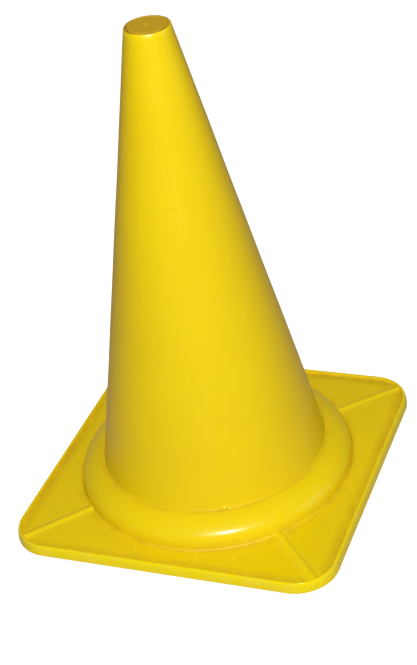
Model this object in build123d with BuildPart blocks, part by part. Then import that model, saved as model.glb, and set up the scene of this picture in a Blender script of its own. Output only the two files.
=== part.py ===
from build123d import *
from math import cos, radians, sin, sqrt
import os

# Marker cone with a square foot. The origin is on the ground under the cone's axis, +Z points
# up, the sides of the foot lie along X and Y, and lengths are in millimetres.

# Cone sleeve
overall_height = 300.0
cone_foot_radius = 69.0  # outside, where the cone rises out of the ring
cone_top_radius = 12.8
sleeve_wall = 1.9  # measured level
sleeve_top_rounding = 0.6
flange_thickness = 2.0
flange_edge_rounding = 0.5

# Foot: square plate, raised rim and hollow ring
plate_border = 16.5  # from the ring to the middle of a side
corner_radius = 24.5
rim_height = 7.4
rim_width = 3.2  # at its foot
rim_upright_height = 1.0  # of its outer face, below the draft
rim_draft = 11.0  # degrees that the outer face leans in
rim_outer_rounding = 1.9
rim_inner_rounding = 0.2
rim_foot_rounding = 0.5
plate_edge_height = 5.2
plate_skin = 2.2
plate_slope_share = 0.032  # rise of the plate for each length towards the middle
plate_crown_inset = 12.0  # the slope's corners end this far inside the ring's face
plate_crown_corner_radius = 3.0
ring_height = 22.0
ring_width = 16.0
ring_wall = 2.6
ring_lip_flat = 0.8
ring_foot_rounding = 1.6
crown_top_slope = 12.0  # degrees below level, where the ring's upper face leaves the lip
crown_shoulder_slope = 36.0  # degrees, where the shoulder starts
crown_side_slope = 76.0  # degrees, where the shoulder ends
crown_shoulder_radius = 6.0
hollow_headroom = 1.6  # extra wall over the ring's hollow
foot_clearance = 1.0  # hidden walls end this far above the ground
collar_depth = 11.0
collar_wall = 1.8

# Low ribs on the plate and stiffening webs under it
rib_width = 3.4
rib_rise = 1.4
rib_rounding = 1.2
web_count = 8
web_thickness = 1.6

# Snap lugs and lock ring
lug_count = 6
lug_length = 12.0
lug_height = 2.0
lug_reach = 1.8
lug_chamfer = 0.9
lock_ring_wall = 1.8
lock_ring_floor = 2.0
lock_ring_chamfer = 0.5
lock_ring_web_count = 12

# Top plug
plug_disc_thickness = 2.4
ledge_width = 1.4
ledge_thickness = 2.0
plug_skirt_depth = 7.0
plug_skirt_wall = 1.4
plug_bead_reach = 0.5
plug_bead_height = 1.2
plug_edge_chamfer = 0.25
gate_dimple_radius = 2.2
gate_dimple_depth = 0.5
gate_nub_radius = 0.9
gate_nub_height = 0.35

# Fits
seat_clearance = 0.3
plug_clearance = 0.12
overrun = 1.0

# Sizes that follow
wall_slope = (cone_foot_radius - cone_top_radius) / (overall_height - ring_height)
collar_bore_radius = cone_foot_radius + seat_clearance
ring_outer_radius = cone_foot_radius + ring_width
base_side = 2 * (ring_outer_radius + plate_border)
rim_inner_half = base_side / 2 - rim_width
plate_crown_reach = ring_outer_radius - plate_crown_inset
plate_crown_half = (plate_crown_reach - plate_crown_corner_radius) / sqrt(2) + plate_crown_corner_radius
collar_foot_height = ring_height - collar_depth
collar_foot_bore_radius = collar_bore_radius + wall_slope * collar_depth
collar_face_radius = collar_foot_bore_radius + collar_wall
flange_bottom = collar_foot_height - flange_thickness
lock_ring_bottom = foot_clearance + lug_height
lock_ring_height = flange_bottom - lock_ring_bottom
mouth_radius = cone_top_radius - sleeve_wall
ledge_bore_radius = mouth_radius - ledge_width
ledge_top = overall_height - plug_disc_thickness
ledge_bottom = ledge_top - ledge_thickness
crown_width = ring_outer_radius - collar_bore_radius - ring_lip_flat
crown_height = ring_height - plate_edge_height
cavity_width = ring_outer_radius - ring_wall - collar_face_radius
cavity_height = crown_height - ring_wall - hollow_headroom


def sleeve_radius(height):
    """Outer radius of the cone at a height above the ground."""
    return cone_foot_radius - wall_slope * (height - ring_height)


def cavity_radius(height):
    """Radius of the ring's inner wall, which curves in above the plate."""
    share = max(height - plate_edge_height, 0) / cavity_height
    return collar_face_radius + cavity_width * sqrt(1 - share**2)


def arc_travel(start_slope, end_slope):
    """Outward and downward travel of an arc of radius one, between two slopes below level."""
    start, end = radians(start_slope), radians(end_slope)
    return sin(end) - sin(start), cos(start) - cos(end)


def crown_radii():
    """Radii of the crown's upper face and side that meet its shoulder without a kink."""
    top_run, top_drop = arc_travel(crown_top_slope, crown_shoulder_slope)
    shoulder_run, shoulder_drop = arc_travel(crown_shoulder_slope, crown_side_slope)
    side_run, side_drop = arc_travel(crown_side_slope, 90)
    run = crown_width - crown_shoulder_radius * shoulder_run
    drop = crown_height - crown_shoulder_radius * shoulder_drop
    spread = top_run * side_drop - side_run * top_drop
    top_radius = (run * side_drop - side_run * drop) / spread
    side_radius = (top_run * drop - top_drop * run) / spread
    return top_radius, side_radius


def plate_level(half_width):
    """Height of the plate's upper face at a distance from the middle."""
    return plate_edge_height + plate_slope_share * (rim_inner_half - half_width)


def rim_corner(half_width):
    """Corner radius of an outline that runs parallel to the foot's edge."""
    return corner_radius - (base_side / 2 - half_width)


def corner_reach(half_width, radius):
    """Distance from the axis to a rounded corner, along the diagonal."""
    return sqrt(2) * (half_width - radius) + radius


def diagonal_level(reach):
    """Height of the plate's upper face on the diagonal, at a distance from the axis."""
    rim_reach = corner_reach(rim_inner_half, rim_corner(rim_inner_half))
    fall = plate_level(plate_crown_half) - plate_level(rim_inner_half)
    return plate_level(rim_inner_half) + fall * (rim_reach - reach) / (rim_reach - plate_crown_reach)


def rib_plane(angle, start_reach, end_reach):
    """Plane across a rib at its inner end, with its local Y pointing up off the plate."""
    outward = Vector(cos(radians(angle)), sin(radians(angle)), 0)
    start = outward * start_reach + Vector(0, 0, diagonal_level(start_reach))
    end = outward * end_reach + Vector(0, 0, diagonal_level(end_reach))
    across = Vector(-sin(radians(angle)), cos(radians(angle)), 0)
    return Plane(origin=start, x_dir=across, z_dir=end - start)


def on_ring_foot(edge):
    """Whether both ends of an edge lie where the ring rises out of the plate."""
    return all(
        plate_edge_height < end.Z < plate_level(plate_crown_half)
        and abs(Vector(end.X, end.Y).length - ring_outer_radius) < ring_wall / 4
        for end in (edge.position_at(0), edge.position_at(1))
    )


def on_lug_tip(edge):
    """Whether an edge runs along the lower inner side of a snap lug."""
    inside_ring = Vector(edge.center().X, edge.center().Y).length < ring_outer_radius - ring_wall
    return inside_ring and edge.length > lug_length / 2


# Hollow under the plate, with the radial webs left standing in it
with BuildPart() as plate_pockets:
    pocket_edge = plate_level(rim_inner_half) - plate_skin
    pocket_crown = plate_level(plate_crown_half) - plate_skin
    with BuildSketch(Plane.XY.offset(-overrun)):
        RectangleRounded(2 * rim_inner_half, 2 * rim_inner_half, rim_corner(rim_inner_half))
    extrude(amount=pocket_edge + overrun)
    with BuildSketch(Plane.XY.offset(pocket_edge)):
        RectangleRounded(2 * rim_inner_half, 2 * rim_inner_half, rim_corner(rim_inner_half))
    with BuildSketch(Plane.XY.offset(pocket_crown)):
        RectangleRounded(2 * plate_crown_half, 2 * plate_crown_half, plate_crown_corner_radius)
    loft(ruled=True)
    with BuildSketch(Plane.XY.offset(foot_clearance)):
        with PolarLocations(0, web_count):
            Rectangle(base_side, web_thickness, align=(Align.MIN, Align.CENTER))
    extrude(amount=pocket_crown, mode=Mode.SUBTRACT)

# Square foot
with BuildPart() as base_plate:
    # Rim
    with BuildSketch():
        RectangleRounded(base_side, base_side, corner_radius)
    extrude(amount=rim_upright_height)
    with BuildSketch(Plane.XY.offset(rim_upright_height)):
        RectangleRounded(base_side, base_side, corner_radius)
    extrude(amount=rim_height - rim_upright_height, taper=rim_draft)
    fillet(base_plate.edges().group_by(Axis.Z)[-1], radius=rim_outer_rounding)
    with BuildSketch():
        RectangleRounded(2 * rim_inner_half, 2 * rim_inner_half, rim_corner(rim_inner_half))
    extrude(amount=rim_height, mode=Mode.SUBTRACT)
    rim_top = base_plate.faces().sort_by(Axis.Z)[-1]
    fillet(rim_top.inner_wires()[0].edges(), radius=rim_inner_rounding)
    fillet(base_plate.edges().group_by(Axis.Z)[0], radius=rim_foot_rounding)

    # Plate, solid at first, rising gently from the rim towards the ring
    rim_middle_half = base_side / 2 - rim_width / 2
    with BuildSketch(Plane.XY.offset(foot_clearance)):
        RectangleRounded(2 * rim_middle_half, 2 * rim_middle_half, rim_corner(rim_middle_half))
    extrude(amount=plate_level(rim_middle_half) - foot_clearance)
    with BuildSketch(Plane.XY.offset(plate_level(rim_middle_half))):
        RectangleRounded(2 * rim_middle_half, 2 * rim_middle_half, rim_corner(rim_middle_half))
    with BuildSketch(Plane.XY.offset(plate_level(plate_crown_half))):
        RectangleRounded(2 * plate_crown_half, 2 * plate_crown_half, plate_crown_corner_radius)
    loft(ruled=True)

    # Pockets below and the opening that the ring fills
    add(plate_pockets.part, mode=Mode.SUBTRACT)
    with BuildSketch(Plane.XY.offset(-overrun)):
        Circle(ring_outer_radius - ring_wall / 2)
    extrude(amount=ring_height, mode=Mode.SUBTRACT)

    # Hollow ring with the collar that the cone stands in
    crown_top_radius, crown_side_radius = crown_radii()
    with BuildSketch(Plane.XZ):
        with BuildLine():
            Polyline(
                (ring_outer_radius, plate_edge_height),
                (ring_outer_radius, foot_clearance),
                (ring_outer_radius - ring_wall, foot_clearance),
                (ring_outer_radius - ring_wall, plate_edge_height),
            )
            EllipticalCenterArc(
                (collar_face_radius, plate_edge_height), cavity_width, cavity_height, arc_size=90
            )
            Polyline(
                (collar_face_radius, plate_edge_height + cavity_height),
                (collar_face_radius, collar_foot_height),
                (collar_foot_bore_radius, collar_foot_height),
                (collar_bore_radius, ring_height),
                (collar_bore_radius + ring_lip_flat, ring_height),
            )
            crown_top = JernArc(
                (collar_bore_radius + ring_lip_flat, ring_height),
                (cos(radians(crown_top_slope)), -sin(radians(crown_top_slope))),
                crown_top_radius,
                crown_top_slope - crown_shoulder_slope,
            )
            shoulder = JernArc(
                crown_top @ 1,
                crown_top % 1,
                crown_shoulder_radius,
                crown_shoulder_slope - crown_side_slope,
            )
            JernArc(shoulder @ 1, shoulder % 1, crown_side_radius, crown_side_slope - 90)
        make_face()
    revolve(axis=Axis.Z)

    fillet(base_plate.edges().filter_by(on_ring_foot), radius=ring_foot_rounding)

    # Low ribs along the diagonals, from inside the ring's wall to inside the rim
    rib_in = ring_outer_radius - ring_wall / 2
    rib_out = corner_reach(rim_middle_half, rim_corner(rim_middle_half))
    for angle in (45, 135, 225, 315):
        with BuildSketch(rib_plane(angle, rib_in, rib_out)) as rib_section:
            Rectangle(rib_width, 2 * rib_rise)
            fillet(rib_section.vertices().group_by(Axis.Y)[-1], radius=rib_rounding)
        extrude(amount=rib_out - rib_in)

    # Snap lugs that carry the lock ring
    with BuildSketch(Plane.XY.offset(foot_clearance)):
        with PolarLocations(ring_outer_radius - ring_wall, lug_count):
            Rectangle(2 * lug_reach, lug_length)
        Circle(ring_outer_radius - ring_wall / 2, mode=Mode.INTERSECT)
    extrude(amount=lug_height)
    lug_feet = base_plate.edges().filter_by_position(Axis.Z, foot_clearance, foot_clearance)
    chamfer(lug_feet.filter_by(on_lug_tip), length=lug_chamfer)

base_plate.part.label = "base_plate"

# Cone sleeve
with BuildPart() as cone_sleeve:
    flange_radius = cavity_radius(collar_foot_height) - seat_clearance
    with BuildSketch(Plane.XZ):
        Polygon(
            (sleeve_radius(flange_bottom) - sleeve_wall, flange_bottom),
            (flange_radius, flange_bottom),
            (flange_radius, collar_foot_height),
            (sleeve_radius(collar_foot_height), collar_foot_height),
            (cone_top_radius, overall_height),
            (mouth_radius, overall_height),
            (mouth_radius, ledge_top),
            (ledge_bore_radius, ledge_top),
            (ledge_bore_radius, ledge_bottom),
            (sleeve_radius(ledge_bottom) - sleeve_wall, ledge_bottom),
            align=None,
        )
    revolve(axis=Axis.Z)
    rims = cone_sleeve.edges().filter_by(GeomType.CIRCLE).group_by(Axis.Z)
    top_edges = rims[-1].sort_by(SortBy.RADIUS)
    fillet(top_edges[-1], radius=sleeve_top_rounding)
    chamfer(top_edges[0], length=plug_edge_chamfer)
    fillet(rims[0].sort_by(SortBy.RADIUS)[-1], radius=flange_edge_rounding)

cone_sleeve.part.label = "cone_sleeve"

# Lock ring
with BuildPart() as lock_ring:
    lock_ring_radius = cavity_radius(flange_bottom) - seat_clearance
    lock_ring_bore_radius = sleeve_radius(flange_bottom) + seat_clearance
    with BuildSketch(Plane.XY.offset(lock_ring_bottom)):
        Circle(lock_ring_radius)
        Circle(lock_ring_bore_radius, mode=Mode.SUBTRACT)
    extrude(amount=lock_ring_height)
    ring_edges = lock_ring.edges().filter_by(GeomType.CIRCLE).group_by(Axis.Z)
    chamfer(ring_edges[-1].sort_by(SortBy.RADIUS)[-1], length=lock_ring_chamfer)

    # Channel below, crossed by webs
    with BuildSketch(Plane.XY.offset(lock_ring_bottom)):
        Circle(lock_ring_radius - lock_ring_wall)
        Circle(lock_ring_bore_radius + lock_ring_wall, mode=Mode.SUBTRACT)
        with PolarLocations(0, lock_ring_web_count):
            Rectangle(
                lock_ring_radius,
                lock_ring_wall,
                align=(Align.MIN, Align.CENTER),
                mode=Mode.SUBTRACT,
            )
    extrude(amount=lock_ring_height - lock_ring_floor, mode=Mode.SUBTRACT)

lock_ring.part.label = "lock_ring"

# Top plug
with BuildPart() as top_plug:
    plug_radius = mouth_radius - plug_clearance
    skirt_radius = ledge_bore_radius - plug_clearance
    skirt_bottom = ledge_top - plug_skirt_depth
    bead_top = ledge_bottom - plug_clearance
    with BuildSketch(Plane.XZ):
        Polygon(
            (0, ledge_top),
            (skirt_radius - plug_skirt_wall, ledge_top),
            (skirt_radius - plug_skirt_wall, skirt_bottom),
            (skirt_radius, skirt_bottom),
            (skirt_radius, bead_top - plug_bead_height),
            (skirt_radius + plug_bead_reach, bead_top - plug_bead_height / 2),
            (skirt_radius, bead_top),
            (skirt_radius, ledge_top),
            (plug_radius, ledge_top),
            (plug_radius, overall_height),
            (0, overall_height),
            align=None,
        )
    revolve(axis=Axis.Z)
    rims = top_plug.edges().filter_by(GeomType.CIRCLE).group_by(Axis.Z)
    chamfer(rims[-1], length=plug_edge_chamfer)

    # Gate mark: a nub in a dimple, below the surface
    with BuildSketch(Plane.XY.offset(overall_height)):
        Circle(gate_dimple_radius)
    extrude(amount=-gate_dimple_depth, mode=Mode.SUBTRACT)
    with BuildSketch(Plane.XY.offset(overall_height - gate_dimple_depth)):
        Circle(gate_nub_radius)
    extrude(amount=gate_nub_height)

top_plug.part.label = "top_plug"

os.makedirs("parts", exist_ok=True)
for piece in (base_plate, cone_sleeve, lock_ring, top_plug):
    export_step(piece.part, f"parts/{piece.part.label}.step")
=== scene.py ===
import logging
import math
from collections.abc import Callable
from dataclasses import dataclass, field
from enum import Enum

import bpy
import numpy as np
from bpy.types import ID, Material, Node, NodeSocket, NodeTree, Object, World
from mathutils import Matrix, Vector


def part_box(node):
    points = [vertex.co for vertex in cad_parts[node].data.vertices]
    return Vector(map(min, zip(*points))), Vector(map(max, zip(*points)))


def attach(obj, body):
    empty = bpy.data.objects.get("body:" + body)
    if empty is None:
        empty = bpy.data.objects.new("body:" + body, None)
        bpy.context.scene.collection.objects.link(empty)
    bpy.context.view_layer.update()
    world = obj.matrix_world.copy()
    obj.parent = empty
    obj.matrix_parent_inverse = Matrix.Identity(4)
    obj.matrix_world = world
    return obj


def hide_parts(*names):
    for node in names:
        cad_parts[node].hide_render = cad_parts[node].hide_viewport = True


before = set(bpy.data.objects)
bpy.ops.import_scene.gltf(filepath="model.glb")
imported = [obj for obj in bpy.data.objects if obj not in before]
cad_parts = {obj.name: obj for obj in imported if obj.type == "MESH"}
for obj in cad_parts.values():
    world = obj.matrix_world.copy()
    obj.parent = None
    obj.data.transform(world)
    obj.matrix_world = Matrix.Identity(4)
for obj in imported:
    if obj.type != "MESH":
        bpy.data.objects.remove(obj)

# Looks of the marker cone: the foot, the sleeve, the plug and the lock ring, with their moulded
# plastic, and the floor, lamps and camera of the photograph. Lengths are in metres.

LOG = logging.getLogger("marker_cone")
MM = 0.001
BODY = "root"
# Edge mask: wear, and a painted glow, a lighter yellow painted on edges as if lit.
WEAR_AND_GLOW_MASK = "wear_and_painted_glow"
# Crevice mask: painted shade, a dark colour painted into corners, creases and under the plate.
CREVICE_MASK = "crevice"
GLOSS_SHARE = 0.1
NUMBER = "NodeSocketFloat"
COLOUR = "NodeSocketColor"
Colour = tuple[float, float, float]
Sockets = bpy.types.bpy_prop_collection


class Gloss(Enum):
    """Roughness of a moulded face, by how the mould was finished."""

    POLISHED = 0.27
    SATIN = 0.34
    DULL = 0.48


@dataclass
class Shape:
    """Points, faces and surface masks of one closed skin."""

    points: np.ndarray
    faces: list[tuple[int, ...]]
    edge: np.ndarray
    crevice: np.ndarray

    def turned(self) -> "Shape":
        """The same skin with its faces turned the other way."""
        faces = [tuple(reversed(face)) for face in self.faces]
        return Shape(self.points, faces, self.edge, self.crevice)

    def joined(self, other: "Shape") -> "Shape":
        """Put another skin beside this one.

        Args:
            other: The skin to add.

        Returns:
            One shape that holds both skins.
        """
        shift = len(self.points)
        moved = [tuple(index + shift for index in face) for face in other.faces]
        return Shape(
            np.vstack([self.points, other.points]),
            self.faces + moved,
            np.concatenate([self.edge, other.edge]),
            np.concatenate([self.crevice, other.crevice]),
        )

    def to_object(self, name: str, material: Material, sharp: float) -> Object:
        """Make a Blender object with smooth faces and masks from this shape.

        Args:
            name: Name of the piece.
            material: Finish of the piece.
            sharp: Angle in degrees above which an edge stays crisp.

        Returns:
            The new object, linked to the scene.
        """
        mesh = bpy.data.meshes.new(name)
        mesh.from_pydata(self.points.tolist(), [], self.faces)
        mesh.update()
        for mask, values in ((WEAR_AND_GLOW_MASK, self.edge), (CREVICE_MASK, self.crevice)):
            layer = mesh.attributes.new(mask, "FLOAT", "POINT")
            layer.data.foreach_set("value", values.astype(np.float32))
        mesh.polygons.foreach_set("use_smooth", np.ones(len(mesh.polygons), dtype=bool))
        mesh.set_sharp_from_angle(angle=math.radians(sharp))
        mesh.materials.append(material)
        return linked(name, mesh)


@dataclass
class Profile:
    """Rings of points round the axis, stacked along a section, which become one skin."""

    angles: np.ndarray
    rings: list[np.ndarray] = field(default_factory=list)
    edge: list[np.ndarray] = field(default_factory=list)
    crevice: list[np.ndarray] = field(default_factory=list)

    @classmethod
    def around(cls, turns: int) -> "Profile":
        """Empty profile with this many points in each ring."""
        return cls(np.linspace(0.0, 2 * math.pi, turns, endpoint=False))

    def ring(
        self,
        reach: float | np.ndarray,
        level: float | np.ndarray,
        edge: float = 0.0,
        crevice: float = 0.0,
    ) -> None:
        """Add one ring of points.

        Args:
            reach: Distance from the axis, the same all round or one for each angle.
            level: Height above the ground, the same all round or one for each angle.
            edge: How far this ring lies on an edge that wears and gets a painted glow, from 0 to 1.
            crevice: How far this ring lies in a corner that gets painted shade, from 0 to 1.
        """
        level = np.broadcast_to(level, self.angles.shape)
        side, depth = reach * np.cos(self.angles), reach * np.sin(self.angles)
        self.rings.append(np.stack([side, depth, level], axis=1))
        self.edge.append(np.full(len(self.angles), edge, dtype=float))
        self.crevice.append(np.full(len(self.angles), crevice, dtype=float))

    def line(self, *corners: tuple[float, ...]) -> None:
        """Add a ring for each corner: reach, level and, where it has one, its painted-shade mask."""
        for reach, level, *dirt_and_shade in corners:
            self.ring(reach, level, crevice=sum(dirt_and_shade))

    def arc(
        self,
        centre: tuple[float | np.ndarray, float | np.ndarray],
        radius: float,
        bends: tuple[float, float],
        steps: int,
        first: int = 0,
        edge: tuple[float, float] = (0.0, 0.0),
        crevice: tuple[float, float] = (0.0, 0.0),
        outline: Callable[[float], np.ndarray] | None = None,
        rise: float | None = None,
    ) -> None:
        """Add rings along an arc of the section.

        Args:
            centre: Reach and height of the arc's centre.
            radius: Its radius.
            bends: Direction from the centre at the start and at the end, in degrees.
            steps: Number of equal steps.
            first: Step of the first ring, 1 where the ring before lies on the arc's start.
            edge: Wear and painted-glow mask at the start and at the end.
            crevice: Painted-shade mask at the start and at the end.
            outline: Gives the reach all round for a distance. None leaves a round ring.
            rise: Upward radius where the arc is part of an ellipse.
        """
        tall = radius if rise is None else rise
        for step in range(first, steps + 1):
            share = step / steps
            turn = math.radians(bends[0] + (bends[1] - bends[0]) * share)
            reach = centre[0] + radius * math.cos(turn)
            self.ring(
                outline(reach) if outline else reach,
                centre[1] + tall * math.sin(turn),
                edge=edge[0] + (edge[1] - edge[0]) * share,
                crevice=crevice[0] + (crevice[1] - crevice[0]) * share,
            )

    def shape(self, closed: bool = True) -> Shape:
        """Join the rings into a skin.

        Args:
            closed: Whether the last ring joins the first. If not, both ends get a flat cap.

        Returns:
            The skin, its faces turned outwards.
        """
        count = len(self.angles)
        stacks = len(self.rings)
        steps = stacks if closed else stacks - 1
        faces: list[tuple[int, ...]] = []
        for stack in range(steps):
            low = stack * count
            high = ((stack + 1) % stacks) * count
            for turn in range(count):
                after = (turn + 1) % count
                faces.append((low + turn, high + turn, high + after, low + after))
        if not closed:
            faces.append(tuple(range(count)))
            faces.append(tuple((stacks - 1) * count + turn for turn in reversed(range(count))))
        masks = np.concatenate(self.edge), np.concatenate(self.crevice)
        return Shape(np.vstack(self.rings), faces, *masks)


def square_reach(angle: np.ndarray, half: np.ndarray, corner: np.ndarray) -> np.ndarray:
    """Distance from the axis to the outline of a rounded square.

    Args:
        angle: Directions round the axis, in radians.
        half: Half the square's side.
        corner: Radius of its corners.

    Returns:
        The distance for each direction.
    """
    fold = np.abs((angle + math.pi / 4) % (math.pi / 2) - math.pi / 4)
    centre = half - corner
    straight = half / np.cos(fold)
    spread = centre * (np.cos(fold) + np.sin(fold))
    rounded = spread + np.sqrt(np.maximum(spread**2 - 2 * centre**2 + corner**2, 0.0))
    return np.where(half * np.tan(fold) <= centre, straight, rounded)


def soft_wave(points: np.ndarray, length: float, seed: int) -> np.ndarray:
    """Slow uneven swell of a moulding, as a value from about -1 to 1 at each point.

    Args:
        points: Points on the moulding.
        length: Typical distance between two crests.
        seed: Number that sets where the crests lie.

    Returns:
        The swell at each point.
    """
    chance = np.random.default_rng(seed)
    value = np.zeros(len(points))
    waves = 7
    for _ in range(waves):
        heading = chance.normal(size=3)
        heading /= np.linalg.norm(heading)
        stretch = chance.uniform(0.7, 1.6)
        phase = chance.uniform(0.0, 2 * math.pi)
        value += np.sin(points @ heading * 2 * math.pi / (length * stretch) + phase)
    crest = 1.4
    return value / math.sqrt(waves) / crest


def linked(name: str, data: ID) -> Object:
    """Make an object and link it to the scene.

    Args:
        name: Its name.
        data: Its mesh, lamp or camera.

    Returns:
        The new object.
    """
    made = bpy.data.objects.new(name, data)
    bpy.context.scene.collection.objects.link(made)
    return made


def point_at(angle: float, reach: float, level: float = 0.0) -> Vector:
    """Point in a direction round the axis, at a distance from it and a height."""
    return Vector((reach * math.cos(angle), reach * math.sin(angle), level))


def towards(azimuth: float, elevation: float) -> Vector:
    """Unit vector from the object, where azimuth 0 is in front and 90 degrees at the right."""
    return point_at(azimuth - math.pi / 2, math.cos(elevation), math.sin(elevation))


def beam(start: Vector, end: Vector, section: list[tuple[float, ...]], edge: float) -> Shape:
    """Straight bar of an upright cross-section between two points.

    Args:
        start: Point under the middle of the section at one end.
        end: The same point at the other end.
        section: Its corners: sideways and upward distance and, where it has one, the painted-shade mask.
        edge: Wear and painted-glow mask of the whole bar.

    Returns:
        The bar, closed at both ends.
    """
    along = (end - start).normalized()
    across = Vector((-along.y, along.x, 0.0)).normalized()
    up = Vector((0.0, 0.0, 1.0))
    points = [
        tuple(place + across * side + up * rise)
        for place in (start, end)
        for side, rise, *_ in section
    ]
    count = len(section)
    faces = []
    for turn in range(count):
        after = (turn + 1) % count
        faces.append((turn, after, count + after, count + turn))
    faces.extend((tuple(reversed(range(count))), tuple(range(count, 2 * count))))
    dirt_and_shade = np.array([sum(corner[2:]) for corner in section] * 2, dtype=float)
    return Shape(np.array(points), faces, np.full(2 * count, edge), dirt_and_shade)


@dataclass
class NodeMaker:
    """Adds nodes to one node tree and joins them."""

    tree: NodeTree

    @classmethod
    def inside(cls, holder: Material | World) -> "NodeMaker":
        """Start the node tree of a material or a world afresh.

        Args:
            holder: The material or world.

        Returns:
            The maker for its nodes.
        """
        holder.use_nodes = True
        holder.node_tree.nodes.clear()
        return cls(holder.node_tree)

    def add(self, kind: str, inputs: dict | None = None, **settings: object) -> Node:
        """Add a node.

        Args:
            kind: Blender's name for the kind of node.
            inputs: Values or sockets, by the input's name or number. A colour is three numbers.
            settings: Other settings of the node.

        Returns:
            The new node.
        """
        node = self.tree.nodes.new(kind)
        for name, value in settings.items():
            setattr(node, name, value)
        for name, value in (inputs or {}).items():
            socket = node.inputs[name]
            if isinstance(value, NodeSocket):
                self.tree.links.new(value, socket)
            else:
                socket.default_value = (*value, 1.0) if socket.type == "RGBA" else value
        return node

    def maths(self, operation: str, *values: object) -> NodeSocket:
        """Add a sum, product or other operation on numbers and return its result."""
        return self.add("ShaderNodeMath", dict(enumerate(values)), operation=operation).outputs[0]

    def vector(self, operation: str, inputs: dict) -> Sockets:
        """Add an operation on vectors and return its outputs."""
        return self.add("ShaderNodeVectorMath", inputs, operation=operation).outputs

    def noise(self, vector: object, scale: object, detail: float, rough: float) -> NodeSocket:
        """Add a noise texture and return its value."""
        values = {"Vector": vector, "Scale": scale, "Detail": detail, "Roughness": rough}
        return self.add("ShaderNodeTexNoise", values).outputs["Fac"]

    def stretch(self, value: object, low: float, high: float) -> NodeSocket:
        """Map a value so that low gives 0 and high gives 1, and hold it there beyond."""
        inputs = {"Value": value, "From Min": low, "From Max": high}
        return self.add("ShaderNodeMapRange", inputs, clamp=True).outputs["Result"]

    def blend(self, share: object, first: object, second: object) -> NodeSocket:
        """Mix two colours, by the numbers of the node's sockets for colours."""
        node = self.add("ShaderNodeMix", {0: share, 6: first, 7: second}, data_type="RGBA")
        return node.outputs[2]


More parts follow.
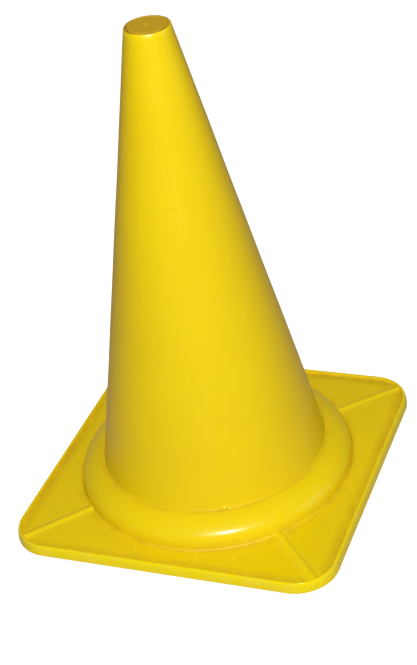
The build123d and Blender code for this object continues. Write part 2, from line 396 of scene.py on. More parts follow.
class Effects:
    """Shared surface effects, each a node group built once."""

    def __init__(self) -> None:
        """Build every group."""
        self.grain = self._grain()
        self.pigment = self._pigment()
        self.scuff = self._scuff()
        self.dirt_and_shade = self._dirt_and_shade()
        self.flow = self._flow()
        self.scratches = self._scratches()

    @staticmethod
    def _open(
        name: str, inputs: dict[str, float | Colour], outputs: dict[str, str]
    ) -> tuple[NodeMaker, Sockets, NodeSocket]:
        """Start a group.

        Args:
            name: Name of the group.
            inputs: Default value of each input; three numbers make it a colour.
            outputs: Kind of socket of each output.

        Returns:
            The maker for its nodes, the sockets of its inputs and the place on the object.
        """
        tree = bpy.data.node_groups.new(name, "ShaderNodeTree")
        for label, value in inputs.items():
            kind = NUMBER if isinstance(value, float) else COLOUR
            socket = tree.interface.new_socket(label, in_out="INPUT", socket_type=kind)
            socket.default_value = value if isinstance(value, float) else (*value, 1.0)
        for label, kind in outputs.items():
            tree.interface.new_socket(label, in_out="OUTPUT", socket_type=kind)
        maker = NodeMaker(tree)
        place = maker.add("ShaderNodeTexCoord").outputs["Object"]
        return maker, maker.add("NodeGroupInput").outputs, place

    def _grain(self) -> NodeTree:
        """Fine orange peel of a moulded face, with patches of duller gloss.

        Returns:
            The node group.
        """
        inputs = {"Fine Scale": 900.0, "Patch Scale": 45.0}
        outputs = {"Height": NUMBER, "Gloss Shift": NUMBER}
        maker, given, place = self._open("Moulded Grain", inputs, outputs)
        fine = maker.noise(place, given["Fine Scale"], detail=3.0, rough=0.55)
        patch = maker.noise(place, given["Patch Scale"], detail=4.0, rough=0.6)
        height = maker.maths("MULTIPLY_ADD", patch, 0.6, fine)
        shift = maker.maths("SUBTRACT", patch, 0.5)
        maker.add("NodeGroupOutput", {"Height": height, "Gloss Shift": shift})
        return maker.tree

    def _pigment(self) -> NodeTree:
        """Slow drift between a colour and its deeper shade.

        Returns:
            The node group.
        """
        inputs = {"Colour": (0.9, 0.7, 0.01), "Deep": (0.8, 0.55, 0.01), "Scale": 14.0}
        maker, given, place = self._open("Pigment Drift", inputs, {"Colour": COLOUR})
        broad = maker.noise(place, given["Scale"], detail=2.0, rough=0.5)
        drift = maker.stretch(broad, low=0.35, high=0.75)
        speck_scale = maker.maths("MULTIPLY", given["Scale"], 22.0)
        fine = maker.noise(place, speck_scale, detail=2.0, rough=0.6)
        speck = maker.stretch(fine, low=0.52, high=0.8)
        share = maker.maths("MINIMUM", maker.maths("MULTIPLY_ADD", speck, 0.35, drift), 1.0)
        colour = maker.blend(share, given["Colour"], given["Deep"])
        maker.add("NodeGroupOutput", {"Colour": colour})
        return maker.tree

    def _scuff(self) -> NodeTree:
        """Broken patches of rubbing along an edge mask.

        Returns:
            The node group.
        """
        inputs = {"Edge": 0.0, "Scale": 120.0, "Amount": 0.5}
        maker, given, place = self._open("Edge Scuff", inputs, {"Mask": NUMBER})
        patch = maker.noise(place, given["Scale"], detail=5.0, rough=0.65)
        broken = maker.stretch(patch, low=0.48, high=0.66)
        on_edge = maker.maths("MULTIPLY", broken, given["Edge"])
        maker.add("NodeGroupOutput", {"Mask": maker.maths("MULTIPLY", on_edge, given["Amount"])})
        return maker.tree

    def _dirt_and_shade(self) -> NodeTree:
        """Painted shade that darkens corners and creases, over a faint dirt film on the open faces.

        Returns:
            The node group.
        """
        inputs = {"Crevice": 0.0, "Scale": 60.0, "Amount": 0.5, "Film": 0.05}
        maker, given, place = self._open("Painted Corner Shade and Dirt", inputs, {"Mask": NUMBER})
        patch = maker.noise(place, given["Scale"], detail=4.0, rough=0.7)
        spread = maker.stretch(patch, low=0.2, high=0.6)
        # The crevice part paints shade; the film part is a faint dirt film all over.
        depth = maker.maths("MULTIPLY_ADD", given["Crevice"], given["Amount"], given["Film"])
        maker.add("NodeGroupOutput", {"Mask": maker.maths("MULTIPLY", depth, spread)})
        return maker.tree

    def _flow(self) -> NodeTree:
        """Faint streaks that the plastic leaves as it runs from the gate along the mould.

        Returns:
            The node group.
        """
        inputs = {"Around": 10.0, "Along": 3.0}
        maker, given, place = self._open("Flow Lines", inputs, {"Height": NUMBER})
        parts = maker.add("ShaderNodeSeparateXYZ", {"Vector": place}).outputs
        flat = maker.add("ShaderNodeCombineXYZ", {"X": parts["X"], "Y": parts["Y"]}).outputs[0]
        heading = maker.vector("NORMALIZE", {0: flat})["Vector"]
        around = maker.vector("SCALE", {0: heading, "Scale": given["Around"]})["Vector"]
        reach = maker.vector("LENGTH", {0: flat})["Value"]
        travel = maker.maths("SUBTRACT", reach, parts["Z"])
        lengthwise = maker.maths("MULTIPLY", travel, given["Along"])
        lift = maker.add("ShaderNodeCombineXYZ", {"Z": lengthwise}).outputs[0]
        spot = maker.vector("ADD", {0: around, 1: lift})["Vector"]
        maker.add("NodeGroupOutput", {"Height": maker.noise(spot, 1.0, detail=5.0, rough=0.6)})
        return maker.tree

    def _scratches(self) -> NodeTree:
        """Short hairlines in two crossing directions, from stacking and rubbing.

        Returns:
            The node group.
        """
        inputs = {"Scale": 300.0, "Amount": 0.5}
        maker, given, place = self._open("Hairline Scratches", inputs, {"Mask": NUMBER})
        lines = []
        for turn, squeeze in ((0.5, 0.035), (-0.9, 0.05)):
            heading = {"Rotation": (turn, turn * 0.6, turn * 1.7), "Scale": (1.0, squeeze, squeeze)}
            mapped = maker.add("ShaderNodeMapping", {"Vector": place, **heading}).outputs[0]
            line = maker.noise(mapped, given["Scale"], detail=2.0, rough=0.4)
            lines.append(maker.stretch(line, low=0.69, high=0.76))
        both = maker.maths("MAXIMUM", *lines)
        maker.add("NodeGroupOutput", {"Mask": maker.maths("MULTIPLY", both, given["Amount"])})
        return maker.tree


@dataclass(frozen=True)
class MouldedPlastic:
    """Finish of one moulding: its pigment, gloss, grain and wear, a painted glow on its edges and painted
    shade in its corners.
    """

    name: str
    colour: Colour
    deep_colour: Colour
    gloss: Gloss
    # Lighter yellow painted on edges as a glow, as if light came through the thin plastic.
    painted_glow_colour: Colour = (0.98, 0.83, 0.002)
    rubbed_colour: Colour = (0.93, 0.79, 0.22)
    # Dark orange-brown painted into corners and creases as shade, and the colour of the faint dirt film.
    dirt_and_shade_colour: Colour = (0.42, 0.22, 0.012)
    bump_height: float = 0.00006
    flow_height: float = 0.00012
    patch_roughness: float = 0.22
    rubbed_roughness: float = 0.2
    dirt_and_shade_roughness: float = 0.35
    crevice_roughness: float = 0.22
    edge_roughness: float = -0.08
    scuff: float = 0.16
    # Strength of the painted shade in corners; film is the faint dirt film all over.
    dirt_and_shade: float = 0.2
    film: float = 0.02
    painted_glow_share: float = 0.5
    scratch: float = 0.05
    index: float = 1.45

    def material(self, effects: Effects) -> Material:
        """Build the material.

        Args:
            effects: The shared node groups.

        Returns:
            The finished material.
        """
        material = bpy.data.materials.new(self.name)
        maker = NodeMaker.inside(material)

        def apply(group: NodeTree, **values: object) -> Sockets:
            """Place a shared group with its own values and return its outputs."""
            return maker.add("ShaderNodeGroup", values, node_tree=group).outputs

        edge = maker.add("ShaderNodeAttribute", attribute_name=WEAR_AND_GLOW_MASK).outputs["Fac"]
        crevice = maker.add("ShaderNodeAttribute", attribute_name=CREVICE_MASK).outputs["Fac"]
        grain = apply(effects.grain)
        flow = apply(effects.flow)["Height"]
        colour = apply(effects.pigment, Colour=self.colour, Deep=self.deep_colour)["Colour"]
        scratches = apply(effects.scratches, Amount=self.scratch)["Mask"]
        scuff = apply(effects.scuff, Edge=edge, Amount=self.scuff)["Mask"]
        dirt_and_shade = apply(effects.dirt_and_shade, Crevice=crevice, Amount=self.dirt_and_shade, Film=self.film)["Mask"]

        rubbed = maker.maths("MAXIMUM", scuff, scratches)
        # Painted glow: the edge mask lifts the colour towards a lighter yellow.
        painted_glow = maker.maths("MULTIPLY", edge, self.painted_glow_share)
        # The dirt mask paints shade into corners and creases, over a faint dirt film.
        tints = (painted_glow, self.painted_glow_colour), (rubbed, self.rubbed_colour), (dirt_and_shade, self.dirt_and_shade_colour)
        for mask, tint in tints:
            colour = maker.blend(mask, colour, tint)

        rough = self.gloss.value
        for mask, change in (
            (grain["Gloss Shift"], self.patch_roughness),
            (rubbed, self.rubbed_roughness),
            (dirt_and_shade, self.dirt_and_shade_roughness),
            (crevice, self.crevice_roughness),
            (edge, self.edge_roughness),
        ):
            rough = maker.maths("MULTIPLY_ADD", mask, change, rough)

        fine = maker.maths("MULTIPLY", grain["Height"], self.bump_height)
        height = maker.maths("MULTIPLY_ADD", flow, self.flow_height, fine)
        bump = maker.add("ShaderNodeBump", {"Height": height, "Strength": 1.0, "Distance": 1.0})
        finish = {"Base Color": colour, "Roughness": rough, "Normal": bump.outputs["Normal"]}
        shader = maker.add("ShaderNodeBsdfPrincipled", finish)
        shader.inputs["IOR"].default_value = self.index
        maker.add("ShaderNodeOutputMaterial", {"Surface": shader.outputs["BSDF"]})
        return material


@dataclass
class SquareFoot:
    """Square foot with its raised rim, sloping plate, low ribs and hollow ring."""

    finish: MouldedPlastic
    node: str = "base_plate"
    turns: int = 720
    corner_radius: float = 24.5 * MM
    rim_height: float = 6.9 * MM
    rim_width: float = 2.8 * MM
    rim_upright_height: float = 0.9 * MM
    rim_lean: float = 1.3 * MM
    rim_inner_rounding: float = 0.7 * MM
    rim_fullness: float = 1.15
    rim_foot_rounding: float = 0.5 * MM
    plate_edge_rounding: float = 0.5 * MM
    plate_edge_height: float = 5.2 * MM
    plate_skin: float = 2.2 * MM
    plate_slope: float = 0.032
    crown_inset: float = 12.0 * MM
    crown_corner: float = 3.0 * MM
    ring_width: float = 16.0 * MM
    ring_border: float = 16.5 * MM
    ring_wall: float = 2.6 * MM
    hollow_headroom: float = 1.6 * MM
    ring_lip: float = 0.8 * MM
    ring_foot_rounding: float = 1.4 * MM
    crown_slopes: tuple[float, float, float, float] = (15.0, 40.0, 76.0, 90.0)
    shoulder_radius: float = 9.5 * MM
    collar_gap: float = 0.04 * MM
    collar_wall: float = 1.8 * MM
    collar_depth: float = 11.0 * MM
    collar_slope: float = 0.2022
    foot_clearance: float = 1.0 * MM
    rib_width: float = 6.8 * MM
    rib_rise: float = 0.95 * MM
    rib_skirt: float = 1.6 * MM
    rib_skirt_rise: float = 0.05 * MM
    crown_rings: int = 36
    rim_rings: int = 18
    rib_points: int = 25
    # Painted shade in the fillet at the ring's foot, and in a band of the plate next to the rim.
    fillet_shade: float = 0.7
    rim_shade_reach: float = 6.5 * MM
    web_count: int = 8
    web_width: float = 1.6 * MM
    lug_count: int = 6
    lug_length: float = 12.0 * MM
    lug_reach: float = 1.8 * MM
    lug_height: float = 2.0 * MM
    lug_chamfer: float = 0.9 * MM
    swell: float = 0.1 * MM
    swell_length: float = 48.0 * MM
    swell_floor: float = 4.8 * MM
    swell_fades: tuple[float, float, float] = (6.0 * MM, 5.0 * MM, 0.5 * MM)

    def __post_init__(self) -> None:
        """Take the foot's outer size from its node and work out what follows."""
        low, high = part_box(self.node)
        self.half = (high.x - low.x) / 2
        self.ring_height = high.z
        self.ring_radius = self.half - self.ring_border
        self.bore_radius = self.ring_radius - self.ring_width + self.collar_gap
        self.inner_half = self.half - self.rim_width
        crown_reach = self.ring_radius - self.crown_inset
        self.crown_half = (crown_reach - self.crown_corner) / math.sqrt(2) + self.crown_corner
        self.crown_width = self.ring_radius - self.bore_radius - self.ring_lip
        self.crown_height = self.ring_height - self.plate_edge_height
        self.crown = self._crown_line()
        self.profile = Profile.around(self.turns)
        self.angles = self.profile.angles

    def build(self, effects: Effects) -> Object:
        """Build and dress the foot.

        Args:
            effects: The shared node groups.

        Returns:
            The dressed foot, in place of its node.
        """
        shape = self._skin()
        for make, count, first in (
            (self._rib, 4, math.pi / 4),
            (self._web, self.web_count, 0.0),
            (self._lug, self.lug_count, 0.0),
        ):
            for angle in Profile.around(count).angles + first:
                shape = shape.joined(make(angle))
        foot = shape.to_object("foot_moulding", self.finish.material(effects), sharp=40.0)
        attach(foot, BODY)
        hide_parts(self.node)
        return foot

    def _outline(self, half: float | np.ndarray) -> np.ndarray:
        """Reach of an outline that runs parallel to the foot's edge."""
        return square_reach(self.angles, half, self.corner_radius - (self.half - half))

    def _crown_line(self, count: int = 48) -> np.ndarray:
        """Section line over the ring: a sloping top, a tight shoulder and a steep side.

        Args:
            count: Number of points on each of its three arcs.

        Returns:
            The points, as reach and height, from the lip down to the plate's edge height.
        """
        bends = np.radians(self.crown_slopes)
        spans = np.diff([np.sin(bends), -np.cos(bends)])
        left_over = (self.crown_width, self.crown_height) - self.shoulder_radius * spans[:, 1]
        top_radius, side_radius = np.linalg.solve(spans[:, ::2], left_over)
        place = np.array([self.bore_radius + self.ring_lip, self.ring_height])
        points = [place]
        for arc, radius in enumerate((top_radius, self.shoulder_radius, side_radius)):
            turn = np.linspace(bends[arc], bends[arc + 1], count + 1)[1:]
            run = np.sin(turn) - math.sin(bends[arc])
            rise = np.cos(turn) - math.cos(bends[arc])
            points.extend(place + radius * np.stack([run, rise], axis=1))
            place = points[-1]
        return np.array(points)

    def _plate_level(self, reach: np.ndarray, angles: np.ndarray) -> np.ndarray:
        """Height of the plate's upper face.

        Args:
            reach: Distance from the axis, one for each angle.
            angles: Directions round the axis.

        Returns:
            The height for each angle.
        """
        inner_corner = self.corner_radius - self.rim_width
        spread = (inner_corner - self.crown_corner) / (self.inner_half - self.crown_half)
        low = np.full(len(angles), self.crown_half * 0.5)
        high = np.full(len(angles), self.half)
        halvings = 30
        for _ in range(halvings):
            middle = (low + high) / 2
            corner = np.maximum(self.crown_corner + spread * (middle - self.crown_half), 0.0)
            inside = square_reach(angles, middle, corner) < reach
            low = np.where(inside, middle, low)
            high = np.where(inside, high, middle)
        return self.plate_edge_height + self.plate_slope * (self.inner_half - low)

    def _skin(self) -> Shape:
        """Skin of the rim, plate and ring, with the slight swell of a cooled moulding.

        Returns:
            The closed skin.
        """
        self._add_ring_top()
        self._add_plate_top()
        self._add_rim()
        self._add_underside()
        shape = self.profile.shape()
        points = shape.points
        flat = np.abs(points[:, :2]).max(axis=1)
        beside = np.hypot(points[:, 0], points[:, 1]) - self.bore_radius - MM
        lift = self.swell * soft_wave(points, self.swell_length, seed=11)
        starts = (self.inner_half - flat, beside, points[:, 2] - self.swell_floor)
        for start, fade in zip(starts, self.swell_fades):
            lift = lift * np.clip(start / fade, 0.0, 1.0)
        points[:, 2] += np.minimum(lift, self.ring_height - points[:, 2])
        return shape

    def _add_ring_top(self) -> None:
        """Collar lip, crown of the ring and the small rounding at its foot."""
        profile = self.profile
        profile.ring(self.bore_radius, self.ring_height)
        foot_reach = self.ring_radius + self.ring_foot_rounding
        foot = self._plate_level(np.full(self.turns, foot_reach), self.angles)
        reaches, levels = self.crown.T
        order = np.arange(len(levels))
        lowest = np.interp(-(foot + self.ring_foot_rounding), -levels, order)
        # Painted shade darkens the crown at the lip and towards its foot; its middle gets a little painted
        # glow.
        for share in np.arange(self.crown_rings + 1) / self.crown_rings:
            at_lip = max(0.8 - share / 0.1, 0.3 - 1.5 * share)
            at_foot = 2.0 * (share - 0.68)
            profile.ring(
                np.interp(lowest * share, order, reaches),
                np.interp(lowest * share, order, levels),
                edge=0.25 * math.sin(math.pi * share),
                crevice=max(at_lip, at_foot, 0.0),
            )
        rounding = self.ring_foot_rounding
        centre = (np.interp(lowest, order, reaches) + rounding, foot + rounding)
        # Painted shade in the fillet at the ring's foot.
        dirt_and_shade = (self.fillet_shade, self.fillet_shade)
        profile.arc(centre, rounding, (180, 270), steps=7, first=1, crevice=dirt_and_shade)

    def _add_plate_top(self) -> None:
        """Sloping plate between the ring's foot and the rim."""
        profile = self.profile
        start = self.ring_radius + self.ring_foot_rounding
        last = self.inner_half - self.plate_edge_rounding
        end = self._outline(last - self.rim_shade_reach)
        # Painted shade: the plate is darker next to the ring's foot and in a band along the rim.
        for share in (0.06, 0.15, 0.3, 0.5, 0.7, 0.85, 1.0):
            reach = start + (end - start) * share
            dirt_and_shade = self.fillet_shade * max(0.0, 1 - share / 0.12)
            profile.ring(reach, self._plate_level(reach, self.angles), crevice=dirt_and_shade)
        for share in (0.2, 0.4, 0.55, 0.7, 0.85, 1.0):
            reach = self._outline(last - self.rim_shade_reach * (1 - share))
            profile.ring(reach, self._plate_level(reach, self.angles), crevice=share)

    def _add_rim(self) -> None:
        """Rim: inner corner, inner face, rounded top, outer face and rounded foot."""
        profile, line = self.profile, self._outline
        # Painted shade in the rim's inner corner, fading over its inner rounding.
        small = self.plate_edge_rounding
        centre = (self.inner_half - small, self.plate_edge_height + small)
        profile.arc(centre, small, (-90, 0), steps=4, first=1, crevice=(1.0, 1.0), outline=line)
        small = self.rim_inner_rounding
        centre = (self.inner_half + small, self.rim_height - small)
        profile.arc(centre, small, (180, 90), steps=6, crevice=(0.4, 0.0), outline=line)
        # The rim's outer face gets the full painted glow, lighter as if lit.
        rise = self.rim_height - self.rim_upright_height
        for step in range(self.rim_rings + 1):
            turn = math.pi / 2 * (1 - step / self.rim_rings)
            lean = self.rim_lean * (1 - math.cos(turn) ** self.rim_fullness)
            level = self.rim_upright_height + rise * math.sin(turn) ** self.rim_fullness
            profile.ring(line(self.half - lean), level, edge=1.0)
        foot = self.rim_foot_rounding
        outer, inner = (self.half - foot, foot), (self.inner_half + foot, foot)
        profile.arc(outer, foot, (0, -90), steps=4, edge=(0.8, 0.8), outline=line)
        profile.arc(inner, foot, (270, 180), steps=4, edge=(0.5, 0.5), outline=line)

    def _add_underside(self) -> None:
        """Underside of the plate, ring wall, hollow of the ring and the collar's bore."""
        profile = self.profile
        edge = self._outline(self.inner_half)
        # Painted shade under the plate, in the ring's hollow and round the collar.
        profile.ring(edge, self._plate_level(edge, self.angles) - self.plate_skin, crevice=1.0)
        for share in (0.25, 0.5, 0.75, 1.0):
            reach = edge + (self.ring_radius - edge) * share
            level = self._plate_level(reach, self.angles) - self.plate_skin
            profile.ring(reach, level, crevice=0.3 + 0.7 * (share == 1.0))
        inside = self.ring_radius - self.ring_wall
        profile.line((self.ring_radius, self.foot_clearance), (inside, self.foot_clearance))
        collar_bore = self.bore_radius + self.collar_slope * self.collar_depth
        collar_face = collar_bore + self.collar_wall
        width = inside - collar_face
        height = self.crown_height - self.ring_wall - self.hollow_headroom
        centre = (collar_face, self.plate_edge_height)
        profile.arc(centre, width, (0, 90), steps=10, crevice=(0.6, 0.6), rise=height)
        collar_foot = self.ring_height - self.collar_depth
        profile.line((collar_face, collar_foot), (collar_bore, collar_foot))

    def _rib(self, angle: float) -> Shape:
        """Low rib along one diagonal, from the ring to the rim.

        Args:
            angle: Its direction round the axis, in radians.

        Returns:
            The rib.
        """
        start_reach = self.ring_radius - self.ring_wall / 2
        corner = self.corner_radius - self.rim_width
        end_reach = math.sqrt(2) * (self.inner_half - corner) + corner + self.rim_width / 3
        ends = []
        for reach in (start_reach, end_reach):
            inner_reach = min(reach, end_reach - self.rim_width / 3)
            level = self._plate_level(np.array([inner_reach]), np.array([angle]))[0]
            ends.append(point_at(angle, reach, level))
        half = self.rib_width / 2
        # The rib's flanks and skirts get a little painted shade.
        ridge = [
            (
                half * share,
                self.rib_skirt_rise + self.rib_rise * (1 + math.cos(math.pi * share)) / 2,
                0.2 * max(0.0, abs(share) - 0.3) / 0.7,
            )
            for share in np.linspace(1.0, -1.0, self.rib_points)
        ]
        tip = half + self.rib_skirt
        middle = half + self.rib_skirt / 2
        root = [(tip, -self.rib_rise, 0.0), (tip, 0.0, 0.0), (middle, self.rib_skirt_rise, 0.2)]
        far_root = [(-side, rise, dirt_and_shade) for side, rise, dirt_and_shade in reversed(root)]
        return beam(*ends, [*root, *ridge, *far_root], edge=0.3)

    def _web(self, angle: float) -> Shape:
        """Stiffening web under the plate, from the ring's wall to the rim.

        Args:
            angle: Its direction round the axis, in radians.

        Returns:
            The web.
        """
        corner = self.corner_radius - self.rim_width / 2
        end_reach = square_reach(np.array([angle]), self.half - self.rim_width / 2, corner)[0]
        start = point_at(angle, self.ring_radius - self.ring_wall / 2)
        half = self.web_width / 2
        low, high = self.foot_clearance, self.plate_edge_height - self.plate_skin / 2
        section = [(half, low), (half, high), (-half, high), (-half, low)]
        return beam(start, point_at(angle, end_reach), section, edge=0.2)

    def _lug(self, angle: float) -> Shape:
        """Snap lug on the inner side of the ring's wall, chamfered below.

        Args:
            angle: Its direction round the axis, in radians.

        Returns:
            The lug.
        """
        middle = point_at(angle, self.ring_radius - self.ring_wall)
        half_length = point_at(angle + math.pi / 2, self.lug_length / 2)
        root, tip, cut = -self.ring_wall / 2, self.lug_reach, self.lug_chamfer
        low = self.foot_clearance
        high = low + self.lug_height
        section = [(root, low), (tip - cut, low), (tip, low + cut), (tip, high), (root, high)]
        return beam(middle - half_length, middle + half_length, section, edge=0.3)


@dataclass
class ConeSleeve:
    """Tapered sleeve with a rounded mouth, an inner ledge and a flange at its foot."""

    finish: MouldedPlastic
    node: str = "cone_sleeve"
    turns: int = 360
    crease_height: float = 22.0 * MM
    crease_radius: float = 69.0 * MM
    top_radius: float = 12.8 * MM
    wall: float = 1.9 * MM
    top_rounding: float = 0.6 * MM
    mouth_chamfer: float = 0.25 * MM
    plug_depth: float = 2.4 * MM
    ledge_width: float = 1.4 * MM
    ledge_thickness: float = 2.0 * MM
    flange_thickness: float = 2.0 * MM
    flange_rounding: float = 0.5 * MM
    flare_reach: float = 0.4 * MM
    flare_height: float = 0.45 * MM
    flare_drop: float = 0.1 * MM
    flare_rings: int = 13
    wall_rings: int = 110
    inner_rings: int = 24
    # Band below the mouth over which wear and the painted glow grow.
    mouth_wear_and_glow_reach: float = 5.0 * MM
    pip_angle: float = math.radians(-65.0)
    pip_size: tuple[float, float, float] = (1.3 * MM, 2.3 * MM, 1.4 * MM)
    pip_height: float = 23.1 * MM
    pip_turns: int = 24
    pip_cap: float = 84.0
    swell: float = 0.14 * MM
    swell_length: float = 70.0 * MM
    swell_fade: float = 25.0 * MM
    still_foot: float = 4.0 * MM
    still_mouth: float = 6.0 * MM

    def __post_init__(self) -> None:
        """Take the sleeve's heights and flange from its node."""
        self.profile = Profile.around(self.turns)
        low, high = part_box(self.node)
        self.foot = low.z
        self.height = high.z
        self.flange_radius = (high.x - low.x) / 2
        self.slope = (self.crease_radius - self.top_radius) / (self.height - self.crease_height)

    def radius(self, level: float) -> float:
        """Outer radius at a height."""
        return self.crease_radius - self.slope * (level - self.crease_height)

    def build(self, effects: Effects) -> Object:
        """Build and dress the sleeve.

        Args:
            effects: The shared node groups.

        Returns:
            The dressed sleeve, in place of its node.
        """
        shape = self._skin().turned().joined(self._pip())
        sleeve = shape.to_object("sleeve_shell", self.finish.material(effects), sharp=35.0)
        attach(sleeve, BODY)
        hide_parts(self.node)
        return sleeve

    def _skin(self) -> Shape:
        """Skin of the sleeve, its wall very slightly in and out between ring and mouth.

        Returns:
            The closed skin, its faces turned inwards.
        """
        self._add_flange()
        self._add_outside()
        self._add_mouth()
        shape = self.profile.shape()
        points = shape.points
        above = points[:, 2] - self.crease_height - self.still_foot
        below = self.height - self.still_mouth - points[:, 2]
        shift = self.swell * soft_wave(points, self.swell_length, seed=5)
        for distance in (above, below):
            shift = shift * np.clip(distance / self.swell_fade, 0.0, 1.0)
        reach = np.hypot(points[:, 0], points[:, 1])
        points[:, :2] *= (1 + shift / reach)[:, None]
        return shape

    def _add_flange(self) -> None:
        """Flange that the lock ring holds."""
        profile = self.profile
        top = self.foot + self.flange_thickness
        profile.ring(self.radius(self.foot) - self.wall, self.foot, edge=0.3)
        small = self.flange_rounding
        centre = (self.flange_radius - small, self.foot + small)
        profile.arc(centre, small, (-90, 0), steps=3, edge=(0.3, 0.3))
        # Painted shade where the flange meets the wall.
        profile.line((self.flange_radius, top), (self.radius(top), top, 1.0))

    def _add_outside(self) -> None:
        """Outer face: the small flare on the ring, then straight up to the rounded top."""
        profile = self.profile
        bend = self.crease_height
        # Painted shade where the sleeve rises out of the ring, fading up the flare.
        profile.ring(self.radius(bend - MM), bend - MM, crevice=1.0)
        tip = (self.crease_radius + self.flare_reach, bend - self.flare_drop)
        profile.ring(self.crease_radius, tip[1] - self.flare_drop)
        head = bend + self.flare_height
        corners = (tip, (self.crease_radius, bend + self.flare_drop), (self.radius(head), head))
        for share in np.linspace(0.0, 1.0, self.flare_rings):
            weights = np.array(((1 - share) ** 2, 2 * share * (1 - share), share**2))
            profile.ring(*(weights @ np.array(corners)), crevice=0.5 * (1 - share))
        end = self.height - self.top_rounding
        for level in np.linspace(head, end, self.wall_rings + 1)[1:]:
            # Wear and painted glow grow towards the mouth.
            near_top = max(0.0, 1 - (end - level) / self.mouth_wear_and_glow_reach)
            profile.ring(self.radius(level), level, edge=0.5 * near_top)

    def _add_mouth(self) -> None:
        """Rounded top edge, mouth, ledge and the inside of the sleeve."""
        profile = self.profile
        small = self.top_rounding
        centre = (self.radius(self.height) - small, self.height - small)
        # The top rounding fades from wear and painted glow to painted shade; mouth and ledge get painted
        # shade.
        wear_and_glow, dirt_and_shade = (1.0, 0.0), (0.0, 1.0)
        profile.arc(centre, small, (0, 90), steps=7, first=1, edge=wear_and_glow, crevice=dirt_and_shade)
        mouth = self.top_radius - self.wall
        chamfer = self.mouth_chamfer
        profile.line((mouth + chamfer, self.height, 1.0), (mouth, self.height - chamfer, 1.0))
        ledge_top = self.height - self.plug_depth
        ledge_foot = ledge_top - self.ledge_thickness
        ledge = mouth - self.ledge_width
        profile.line((mouth, ledge_top, 1.0), (ledge, ledge_top), (ledge, ledge_foot))
        for level in np.linspace(ledge_foot, self.foot, self.inner_rings, endpoint=False):
            profile.ring(self.radius(level) - self.wall, level, crevice=0.5 * (level == ledge_foot))

    def _pip(self) -> Shape:
        """Small smooth pip that the mould leaves where the sleeve rises out of the ring.

        Returns:
            The pip.
        """
        profile = Profile.around(self.pip_turns)
        bends = (-self.pip_cap, self.pip_cap)
        # The whole pip gets the painted glow, a small painted glint.
        profile.arc((0.0, 0.0), 1.0, bends, steps=14, edge=(1.0, 1.0))
        shape = profile.shape(closed=False).turned()
        place = (self.radius(self.pip_height), 0.0, self.pip_height)
        side, depth = math.sin(self.pip_angle), math.cos(self.pip_angle)
        turn = np.array(((depth, side, 0.0), (-side, depth, 0.0), (0.0, 0.0, 1.0)))
        shape.points = (shape.points * self.pip_size + place) @ turn
        return shape


@dataclass
class TopPlug:
    """Push-in disc that closes the sleeve's mouth, with the gate mark at its middle."""

    finish: MouldedPlastic
    node: str = "top_plug"
    turns: int = 180
    disc_depth: float = 2.4 * MM
    skirt_radius: float = 9.38 * MM
    skirt_wall: float = 1.4 * MM
    bead_reach: float = 0.5 * MM
    bead_height: float = 1.2 * MM
    ledge_thickness: float = 2.0 * MM
    clearance: float = 0.12 * MM
    rim_rounding: float = 0.25 * MM
    dimple_radius: float = 2.2 * MM
    dimple_depth: float = 0.25 * MM
    nub_radius: float = 1.1 * MM
    nub_height: float = 0.2 * MM
    nub_foot: float = 0.15 * MM

    def build(self, effects: Effects) -> Object:
        """Build and dress the plug.

        Args:
            effects: The shared node groups.

        Returns:
            The dressed plug, in place of its node.
        """
        plug = self._skin().to_object("plug_cap", self.finish.material(effects), sharp=50.0)
        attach(plug, BODY)
        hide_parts(self.node)
        return plug

    def _skin(self) -> Shape:
        """Skin of the gate mark, the disc and its skirt with the snap bead.

        Returns:
            The closed skin.
        """
        low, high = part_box(self.node)
        top, foot, radius = high.z, low.z, (high.x - low.x) / 2
        profile = Profile.around(self.turns)
        floor = top - self.dimple_depth
        crest = floor + self.nub_height
        # The gate mark gets wear and some painted glow.
        rounding = ((0.15, 0.0, 0.8), (0.6, 0.15, 0.8), (0.9, 0.6, 0.8), (1.0, 0.75, 0.4))
        for share, drop, wear_and_glow in rounding:
            profile.ring(self.nub_radius * share, crest - self.nub_height * drop, edge=wear_and_glow)
        reach = self.nub_radius + self.nub_foot
        for share in np.linspace(0.0, 1.0, 8):
            level = floor + self.dimple_depth * (1 - math.cos(math.pi * share)) / 2
            profile.ring(reach + (self.dimple_radius - reach) * share, level, edge=0.3 * (1 - share))
        flat = radius - self.rim_rounding
        # Painted shade darkens the disc towards its edge and on its rounding.
        for share in (0.2, 0.45, 0.7, 0.9):
            reach = self.dimple_radius + (flat - self.dimple_radius) * share
            profile.ring(reach, top, edge=0.1, crevice=0.3 * max(0.0, share - 0.45) / 0.45)
        centre = (flat, top - self.rim_rounding)
        wear_and_glow, dirt_and_shade = (0.4, 0.4), (0.0, 0.9)
        profile.arc(centre, self.rim_rounding, (90, 0), steps=4, edge=wear_and_glow, crevice=dirt_and_shade)
        seat = top - self.disc_depth
        bead_top = seat - self.ledge_thickness - self.clearance
        outer, inner = self.skirt_radius, self.skirt_radius - self.skirt_wall
        profile.line((radius, seat), (outer, seat), (outer, bead_top))
        profile.line((outer + self.bead_reach, bead_top - self.bead_height / 2))
        profile.line((outer, bead_top - self.bead_height), (outer, foot))
        profile.line((inner, foot), (inner, seat), (outer * 0.2, seat))
        return profile.shape(closed=False)


@dataclass
class LockRing:
    """Ring inside the foot, whose own solid only needs a finish."""

    finish: MouldedPlastic
    node: str = "lock_ring"

    def build(self, effects: Effects) -> Object:
        """Dress the ring's node.

        Args:
            effects: The shared node groups.

        Returns:
            The dressed node.
        """
        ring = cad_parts[self.node]
        material = self.finish.material(effects)
        for slot in ring.material_slots:
            slot.material = material
        return ring


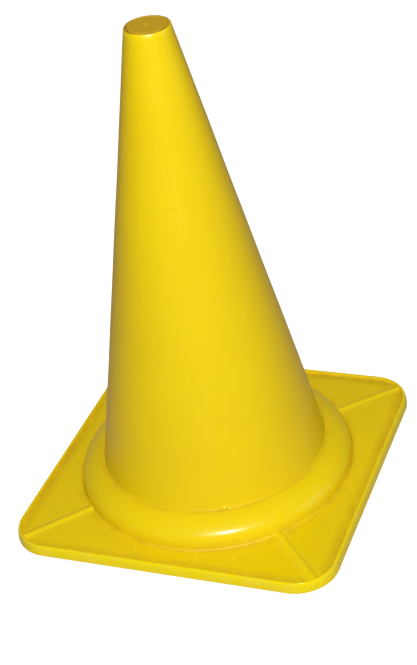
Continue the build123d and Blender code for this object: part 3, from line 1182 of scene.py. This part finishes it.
@dataclass(frozen=True)
class Lamp:
    """Round lamp that points at the object, in degrees and watts, and may glint in a gloss."""

    name: str
    azimuth: float
    elevation: float
    distance: float
    diameter: float
    power: float
    glossy: bool = True

    def place(self, aim: Vector) -> None:
        """Make the lamp and turn it to the object.

        Args:
            aim: Point that it looks at.
        """
        data = bpy.data.lights.new(self.name, "AREA")
        data.shape = "DISK"
        data.size = self.diameter
        data.energy = self.power
        lamp = linked(self.name, data)
        lamp.visible_glossy = self.glossy
        heading = towards(math.radians(self.azimuth), math.radians(self.elevation))
        lamp.location = aim + heading * self.distance
        lamp.rotation_mode = "QUATERNION"
        lamp.rotation_quaternion = (-heading).to_track_quat("-Z", "Y")


@dataclass
class Studio:
    """White floor and surroundings, a weak fill and a key, a side and a back lamp."""

    floor_side: float = 6.0
    floor_colour: Colour = (0.45, 0.36, 0.25)
    floor_lift: float = 0.97
    fill: float = 0.106
    fill_tint: Colour = (1.0, 0.66, 0.36)
    lamps: tuple[Lamp, ...] = (
        Lamp("Key Lamp", azimuth=24.0, elevation=41.0, distance=1.5, diameter=0.096, power=19.7),
        Lamp("Side Lamp", azimuth=98.0, elevation=18.0, distance=2.2, diameter=1.2, power=3.3),
        Lamp("Back Lamp", azimuth=205.0, elevation=6.0, distance=2.2, diameter=1.2, power=12.0, glossy=False),
    )
    aim: Vector = field(default_factory=lambda: Vector((0.0, 0.0, 0.12)))

    def build(self) -> Object:
        """Build the floor, the lamps and the surroundings.

        Returns:
            The floor.
        """
        self._light_world()
        for lamp in self.lamps:
            lamp.place(self.aim)
        return self._lay_floor()

    def _light_world(self) -> None:
        """White surroundings to the camera, and a weaker warm fill on the object."""
        world = bpy.data.worlds.new("Surroundings")
        bpy.context.scene.world = world
        maker = NodeMaker.inside(world)
        seen = self._seen(maker)
        fill = maker.add("ShaderNodeBackground", {"Color": self.fill_tint, "Strength": self.fill})
        white = maker.add("ShaderNodeBackground", {"Color": (1.0, 1.0, 1.0), "Strength": 1.0})
        shaders = {0: seen, 1: fill.outputs[0], 2: white.outputs[0]}
        mixed = maker.add("ShaderNodeMixShader", shaders)
        maker.add("ShaderNodeOutputWorld", {"Surface": mixed.outputs[0]})

    @staticmethod
    def _seen(maker: NodeMaker) -> NodeSocket:
        """Value of 1 for rays from the camera or through glass, and a share of 1 in a gloss.

        Args:
            maker: Maker for the tree that uses the value.

        Returns:
            The value.
        """
        path = maker.add("ShaderNodeLightPath").outputs
        clear = maker.maths("MAXIMUM", path["Is Camera Ray"], path["Is Transmission Ray"])
        gloss = maker.maths("MULTIPLY", path["Is Glossy Ray"], GLOSS_SHARE)
        return maker.maths("MAXIMUM", clear, gloss)

    def _lay_floor(self) -> Object:
        """White floor that keeps the object's shadow.

        Returns:
            The floor.
        """
        half = self.floor_side / 2
        mesh = bpy.data.meshes.new("floor")
        corners = [(-half, -half, 0.0), (half, -half, 0.0), (half, half, 0.0), (-half, half, 0.0)]
        mesh.from_pydata(corners, [], [(0, 1, 2, 3)])
        floor = linked("floor", mesh)
        material = bpy.data.materials.new("White Floor")
        maker = NodeMaker.inside(material)
        matt = maker.add("ShaderNodeBsdfDiffuse", {"Color": self.floor_colour})
        lift = maker.maths("MULTIPLY", self._seen(maker), self.floor_lift)
        glow = maker.add("ShaderNodeEmission", {"Strength": lift})
        both = maker.add("ShaderNodeAddShader", {0: matt.outputs[0], 1: glow.outputs[0]})
        clear = maker.add("ShaderNodeBsdfTransparent")
        below = maker.add("ShaderNodeNewGeometry").outputs["Backfacing"]
        shaders = {0: below, 1: both.outputs[0], 2: clear.outputs[0]}
        mixed = maker.add("ShaderNodeMixShader", shaders)
        maker.add("ShaderNodeOutputMaterial", {"Surface": mixed.outputs[0]})
        mesh.materials.append(material)
        return floor


@dataclass(frozen=True)
class PhotoCamera:
    """Camera at the photograph's place, from a fit to the object's outlines."""

    azimuth: float = math.radians(25.0)
    elevation: float = math.radians(33.64)
    roll: float = math.radians(-8.985)
    distance: float = 1.0344
    aim_right: float = 0.0068
    aim_up: float = 0.084
    focal_pixels: float = 1643.0
    image_height: float = 665.0
    sensor: float = 36.0

    def build(self) -> Object:
        """Place the camera and make it the scene's own.

        Returns:
            The camera.
        """
        back = towards(self.azimuth, self.elevation)
        right = point_at(self.azimuth, 1.0)
        up = back.cross(right)
        data = bpy.data.cameras.new("Photo Camera")
        data.sensor_width = self.sensor
        data.lens = self.focal_pixels * self.sensor / self.image_height
        camera = linked("Photo Camera", data)
        place = right * self.aim_right + up * self.aim_up + back * self.distance
        level = Matrix((right, up, back)).transposed().to_4x4()
        roll = Matrix.Rotation(self.roll, 4, "Z")
        camera.matrix_world = Matrix.Translation(place) @ level @ roll
        bpy.context.scene.camera = camera
        return camera


def main() -> None:
    """Build every piece in order and report each one."""
    logging.basicConfig(level=logging.INFO, format="%(name)s: %(message)s")
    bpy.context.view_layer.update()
    bpy.context.scene.view_settings.view_transform = "Standard"
    effects = Effects()
    yellow = (0.89, 0.69, 0.002)
    deep_yellow = (0.87, 0.65, 0.003)
    foot_yellow = (0.93, 0.7, 0.002)
    # The plug's yellows are painted darker and browner as shade on the upward-facing disc.
    shaded_plug_yellow = (0.73, 0.465, 0.012)
    deeper_shaded_plug_yellow = (0.6, 0.36, 0.009)
    # The sleeve gets the strongest painted shade in its creases; the foot the strongest painted glow on its
    # edges.
    pieces = (
        SquareFoot(
            MouldedPlastic("Foot Yellow", foot_yellow, yellow, Gloss.POLISHED, dirt_and_shade=0.45, painted_glow_share=0.9)
        ),
        ConeSleeve(MouldedPlastic("Sleeve Yellow", yellow, deep_yellow, Gloss.SATIN, dirt_and_shade=1.0)),
        TopPlug(MouldedPlastic("Plug Yellow", shaded_plug_yellow, deeper_shaded_plug_yellow, Gloss.SATIN, index=1.38)),
        LockRing(MouldedPlastic("Lock Ring Yellow", deep_yellow, yellow, Gloss.DULL)),
    )
    for piece in pieces:
        made = piece.build(effects)
        LOG.info("%s has %d faces", made.name, len(made.data.polygons))
    Studio().build()
    PhotoCamera().build()


if __name__ == "__main__":
    main()
